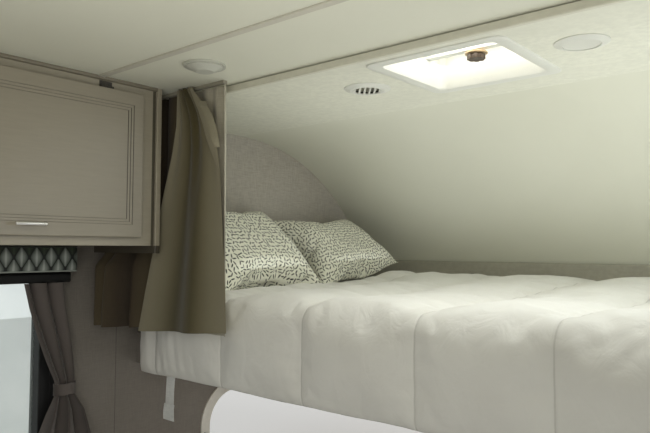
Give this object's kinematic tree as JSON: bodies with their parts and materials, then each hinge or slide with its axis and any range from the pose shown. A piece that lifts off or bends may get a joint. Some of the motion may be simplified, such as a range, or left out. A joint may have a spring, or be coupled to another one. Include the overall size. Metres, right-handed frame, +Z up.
{
  "type": "motorhome cab-over berth section",
  "caption": "Forward upper body section of a motorhome: berth alcove behind a curved nose, overhead lockers, roof hatch, window bays, curtains and bedding.",
  "frame": {"origin": "middle of the berth deck's flat underside, where the section sits on the cab roof", "axes": "+X to the vehicle's right, +Y forward, +Z up"},
  "size_m": [2.592, 2.6762, 1.478],
  "materials": {
    "wall_board": "linen-textured wallboard inside, smooth gelcoat outside",
    "gelcoat": "smooth moulded glass-fibre sandwich",
    "ceiling_board": "smooth off-white ceiling board",
    "sill_board": "foil-faced board",
    "plywood": "bare plywood and timber",
    "locker_board": "greige foil-faced board, satin",
    "satin_steel": "satin",
    "aluminium_trim": "extruded, with a pale insert",
    "amber_lens": "moulded amber lens",
    "trim_plastic": "moulded off-white plastic",
    "lens_plastic": "frosted lens",
    "lid_plastic": "translucent white moulding",
    "knob_plastic": "dark brown moulding",
    "black_frame": "black coated frame",
    "black_plastic": "black blind housing",
    "window_glass": "tinted safety glass",
    "valance_cloth": "dark lattice cloth with pale diamonds and piping",
    "drape_cloth": "grey-brown plain weave",
    "curtain_cloth": "olive-brown plain weave",
    "white_quilt": "white cotton quilt",
    "pillow_cotton": "cream cotton with small dark sprigs",
    "mattress_ticking": "pale ticking",
    "white_tape": "white woven tape"
  },
  "bodies": {
    "root": {"side_wall_left": "wall_board", "side_wall_right": "wall_board", "roof_panel": "gelcoat", "nose_cap": "gelcoat", "berth_deck": "plywood", "berth_edge_beam": "wall_board", "alcove_ceiling": "ceiling_board", "header_rail": "ceiling_board", "ceiling_batten": "ceiling_board", "front_sill": "sill_board", "roof_mouldings": "aluminium_trim", "marker_lights": "amber_lens", "cab_arch_trims": "trim_plastic", "locker_left": "locker_board", "locker_right": "locker_board", "locker_ends": "locker_board", "locker_crowns": "locker_board", "frame_hinge_leaves": "satin_steel", "window_frames": "black_frame", "window_panes": "window_glass", "valances": "valance_cloth", "shade_cassettes": "black_plastic", "drapes": "drape_cloth", "drape_ties": "drape_cloth", "curtain_tracks": "trim_plastic", "berth_curtain_left": "curtain_cloth", "berth_curtain_right": "curtain_cloth", "hatch_frame": "trim_plastic", "hatch_garnish": "trim_plastic", "hatch_knob": "knob_plastic", "air_registers": "trim_plastic", "dome_lights": "lens_plastic", "mattress": "mattress_ticking", "duvet": "white_quilt", "pillow_rear": "pillow_cotton", "pillow_forward": "pillow_cotton", "hanging_tape": "white_tape"},
    "door_left": {"locker_door_left": "locker_board", "locker_pull_left": "satin_steel", "door_hinge_leaves_left": "satin_steel"},
    "door_right": {"locker_door_right": "locker_board", "locker_pull_right": "satin_steel", "door_hinge_leaves_right": "satin_steel"},
    "lid": {"hatch_lid": "lid_plastic"}
  },
  "joints": [
    {"name": "locker_door_left_hinge", "type": "hinge", "parent": "root", "child": "door_left", "pos_m": [-0.884, -1.282, 0.83], "axis": [0, -1, 0], "range_deg": [0, 75]},
    {"name": "locker_door_right_hinge", "type": "hinge", "parent": "root", "child": "door_right", "pos_m": [0.884, -1.282, 0.83], "axis": [0, 1, 0], "range_deg": [0, 75]},
    {"name": "hatch_lid_hinge", "type": "hinge", "parent": "root", "child": "lid", "pos_m": [0, -0.318, 0.936], "axis": [-1, 0, 0], "range_deg": [0, 60]}
  ]
}
